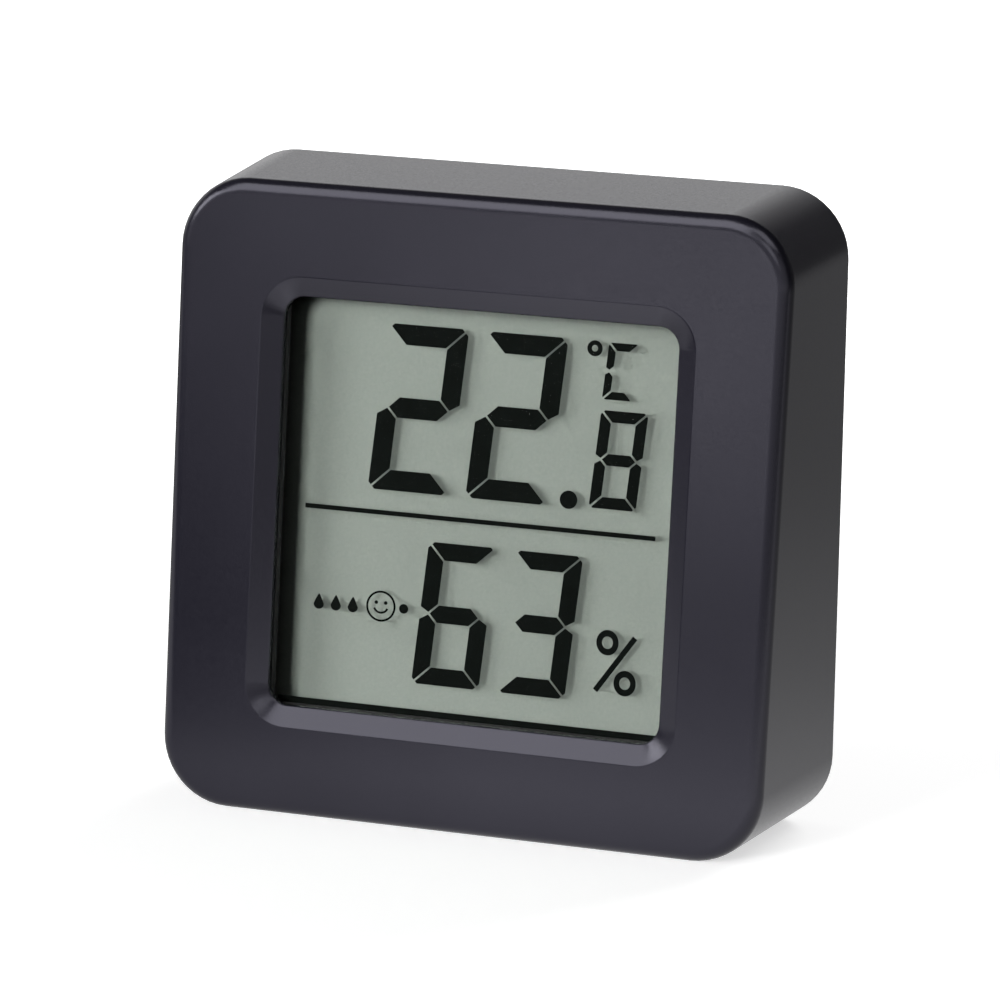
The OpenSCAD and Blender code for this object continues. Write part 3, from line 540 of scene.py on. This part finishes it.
# %% Finish the board
mask_green = grained("solder mask, green", "#14502c", "#1a6236", (0.3, 0.4), 0.2, 0.004, 1.2)
tree = mask_green.node_tree
x, y, z = axes_from(tree, middle_of("circuit_board"))
flat = add(tree, "CombineXYZ", {0: x, 1: z})
lines = add(tree, "TexBrick", {"Vector": flat.outputs[0], "Scale": 1 / (5 * mm), "Mortar Size": 0.03})
dress(inlay(mask_green, lines.outputs[1], "#2f7f4c"), "circuit_board")
resin = grained("potting epoxy, black", "#0c0c0c", "#141414", (0.2, 0.35), 0.4, 0.01, 2.0)
dress(resin, "chip_blob", "thermistor")
for node, name, dark, light in (
    ("chip_resistors", "glazed ceramic, black", "#161618", "#1f1f22"),
    ("chip_capacitors", "fired ceramic, tan", "#9c7a52", "#ab8860"),
):
    ceramic = grained(name, dark, light, (0.3, 0.45), 0.1, 0.003, 0.5)
    x, y, z = axes_from(ceramic.node_tree, middle_of(node))
    dress(inlay(ceramic, beyond(ceramic.node_tree, x, 0.5), "#b9b9b6", 1.0), node)

# %% [markdown]
# ## Sensor, connectors, switch and cell
#
# The humidity sensor is a white plate with a printed comb of two electrodes. The rubber connectors are
# stacks of thin layers, half of them black and conducting; real layers are 0.1 mm thick, drawn here at 0.3
# mm. The cell shows the faint rings that a stamped and polished disc has.

# %% Finish the rest of the inside
alumina = grained("coated alumina, white", "#d6d6cc", "#e0e0d8", (0.4, 0.6), 0.15, 0.004, 1.0)
x, y, z = axes_from(alumina.node_tree, middle_of("humidity_sensor"))
dress(inlay(alumina, bands(alumina.node_tree, x, 0.8, 0.4), "#a9a69a"), "humidity_sensor")
rubber = grained("layered silicone rubber", "#b98a97", "#c699a5", (0.5, 0.65), 0.15, 0.004, 0.3)
x, y, z = axes_from(rubber.node_tree, middle_of("upper_zebra_strip"))
layers = bands(rubber.node_tree, x, 0.6, 0.5)
dress(inlay(rubber, layers, "#1d1c1e"), "upper_zebra_strip", "lower_zebra_strip")
tree = cell_steel.node_tree
x, y, z = axes_from(tree, middle_of("coin_cell_can"))
radius = add(tree, "VectorMath", {0: add(tree, "CombineXYZ", {0: x, 2: z}).outputs[0]}, operation="LENGTH")
inlay(cell_steel, bands(tree, radius.outputs["Value"], 0.8, 0.5), "#b0afab")
polypropylene = grained("polypropylene, black", "#1a1a1c", "#222225", (0.4, 0.5), 0.2, 0.004, 2.0)
nylon = grained("moulded nylon, black", "#141416", "#1c1c1e", (0.4, 0.55), 0.12, 0.004, 1.0)
dress(polypropylene, "coin_cell_gasket")
dress(nylon, "switch_base", "switch_plunger")

# %% [markdown]
# ## The floor
#
# The object stands on a plain white sheet. A white floor that is only lit comes out grey, so it also glows
# a little, but only for the camera, which keeps its soft shadow and adds no light.
#
# Satin plastic mirrors what lies in front of it, and the front of the case looks down at the floor. A
# photographer lays grey and white cards there. Here the sheet itself glows in reflections only, which is a
# painted reflection: its glow runs through stops from near to far, and from left to right of a line that
# slopes as the camera is turned, so that the left of the case stays dark while its lower edge, its top and
# its right side turn grey.

# %% Lay the floor
floor_bm = bmesh.new()
bmesh.ops.create_grid(floor_bm, x_segments=1, y_segments=1, size=3.0)
floor_mesh = bpy.data.meshes.new("floor")
floor_bm.to_mesh(floor_mesh)
floor_bm.free()
floor = bpy.data.objects.new("floor", floor_mesh)
scene.collection.objects.link(floor)

paper = bpy.data.materials.new("white paper sheet")
paper.use_nodes = True
tree = paper.node_tree
shader = tree.nodes["Principled BSDF"]
path = add(tree, "LightPath", {})
place = add(tree, "TexCoord", {}).outputs["Object"]
reach = add(tree, "VectorMath", {0: place}, operation="LENGTH").outputs["Value"]
white = graded(tree, reach, [(0.0, 0.58), (0.05, 0.6), (0.12, 0.75), (0.2, 0.9), (0.3, 1.0)])
glow = add(tree, "Math", {0: path.outputs["Is Camera Ray"], 1: white}, operation="MULTIPLY")
shader.inputs["Base Color"].default_value = linear("#e6e6e6")
shader.inputs["Roughness"].default_value = 0.9
shader.inputs["Specular IOR Level"].default_value = 0.1
shader.inputs["Emission Color"].default_value = (1, 1, 1, 1)
tree.links.new(glow.outputs[0], shader.inputs["Emission Strength"])
axes = add(tree, "SeparateXYZ", {0: place})
view_slope = 0.352
across = add(
    tree, "Math", {0: axes.outputs["Y"], 1: -view_slope, 2: axes.outputs["X"]}, operation="MULTIPLY_ADD"
)
side = graded(tree, across.outputs[0], [
    (-0.3, 0.15), (-0.15, 0.2), (-0.09, 0.0), (-0.025, 0.0), (-0.01, 0.4), (0.005, 1.0), (0.02, 0.9),
    (0.04, 1.0), (0.1, 0.7), (0.2, 0.25)
])
depth = graded(tree, axes.outputs["Y"], [
    (-0.45, 1.0), (-0.25, 0.22), (-0.15, 0.06), (-0.09, 0.08), (-0.06, 0.4), (-0.042, 0.34), (-0.03, 0.5),
    (-0.022, 0.31), (-0.008, 0.26), (0.01, 0.2), (0.05, 0.125), (0.12, 0.075)
])
far = graded(tree, axes.outputs["Y"], [(-0.05, 1.0), (-0.025, 0.35)])
shaped = add(tree, "Mix", {0: far, 2: 1.0, 3: side}, data_type="FLOAT")
level = add(tree, "Math", {0: shaped.outputs[0], 1: depth}, operation="MULTIPLY")
mirror_level = 3.4
mirrored = add(tree, "Math", {0: level.outputs[0], 1: mirror_level}, operation="MULTIPLY")
glossy, diffuse = path.outputs["Is Glossy Ray"], path.outputs["Is Diffuse Ray"]
shown = add(tree, "Math", {0: mirrored.outputs[0], 1: glossy}, operation="MULTIPLY")
# Painted reflection: the floor glows only for glossy rays, at the level shaped above, and is black to
# diffuse rays.
painted_reflection_glow = add(tree, "Emission", {"Strength": shown.outputs[0]})
bounced = add(tree, "Math", {0: glossy, 1: diffuse}, operation="ADD")
both = add(tree, "MixShader", {0: bounced.outputs[0], 1: shader.outputs[0], 2: painted_reflection_glow.outputs[0]})
tree.links.new(both.outputs[0], tree.nodes["Material Output"].inputs["Surface"])
floor_mesh.materials.append(paper)
print("floor laid")

# %% [markdown]
# ## Light
#
# Two lamps on the left throw the window's shadow on the display: one from near the front, and a broader one
# from further round that softens the shadow's end. A third lights the back. Four cards light nothing and
# show only as soft shines on the round edges and the window's bevel. The room is bright behind the case
# and dim in front of it, which is why the top wall looks pale and the front does not. Each lamp's power
# is worked out from the share of light that it should give: a lamp of P watts at a distance d lights a
# white sheet to P / (pi d)^2.

# %% Set the lamps and the room


def lamp(name, turn, height, distance, size, share):
    """An area lamp that looks at the middle of the case. Angles in degrees, lengths in metres."""
    data = bpy.data.lights.new(name, "AREA")
    data.size = size
    data.energy = share * (math.pi * distance) ** 2
    made = bpy.data.objects.new(name, data)
    a, e = math.radians(turn), math.radians(height)
    back = Vector((math.sin(a) * math.cos(e), -math.cos(a) * math.cos(e), math.sin(e)))
    made.location = case_middle + back * distance
    made.rotation_euler = (-back).to_track_quat("-Z", "Y").to_euler()
    scene.collection.objects.link(made)
    return made


lamp("left lamp", -17, 11, 0.6, 0.16, 0.88).visible_glossy = False
lamp("soft left lamp", -50, 14, 0.6, 0.24, 0.62).visible_glossy = False
lamp("back lamp", 165, 24, 0.8, 0.4, 0.9).visible_glossy = False
lamp("top card", -26, 50, 0.6, 0.5, 0.66).visible_diffuse = False
lamp("left card", -62, 25, 0.6, 0.22, 0.22).visible_diffuse = False
lamp("right card", 55, 58, 0.6, 0.3, 0.16).visible_diffuse = False
lamp("low right card", 24, 30, 0.6, 0.2, 0.06).visible_diffuse = False

world = bpy.data.worlds.new("room")
world.use_nodes = True
scene.world = world
tree = world.node_tree
background = tree.nodes["Background"]
direction = add(tree, "TexCoord", {}).outputs["Generated"]
axes = add(tree, "SeparateXYZ", {0: direction})
behind = graded(tree, axes.outputs["Y"], [(-0.1, 0.0), (0.5, 1.0)])
low = graded(tree, axes.outputs["Z"], [(0.35, 1.0), (0.6, 0.06)])
left = graded(tree, axes.outputs["X"], [(-0.15, 1.0), (0.2, 0.1)])
lit = add(tree, "Math", {0: behind, 1: low}, operation="MULTIPLY")
wall = add(tree, "Math", {0: lit.outputs[0], 1: left}, operation="MULTIPLY")
front = graded(tree, axes.outputs["Y"], [(-0.5, 1.0), (-0.1, 0.0)])
horizon = graded(tree, axes.outputs["Z"], [(0.0, 1.0), (0.1, 0.4), (0.45, 0.45), (0.6, 0.06)])
line = add(tree, "Math", {0: front, 1: horizon}, operation="MULTIPLY")
wall_level = 0.86
room = add(
    tree, "Math", {0: wall.outputs[0], 1: wall_level, 2: line.outputs[0]}, operation="MULTIPLY_ADD"
)
path = add(tree, "LightPath", {})
camera_sees = add(
    tree, "Mix", {0: path.outputs["Is Camera Ray"], 2: room.outputs[0], 3: 1.0}, data_type="FLOAT"
)
fill = graded(tree, axes.outputs["Y"], [(-0.1, 0.03), (0.3, 0.22)])
strength = add(
    tree, "Mix", {0: path.outputs["Is Diffuse Ray"], 2: camera_sees.outputs[0], 3: fill}, data_type="FLOAT"
)
tree.links.new(strength.outputs[0], background.inputs["Strength"])
background.inputs["Color"].default_value = (1, 1, 1, 1)
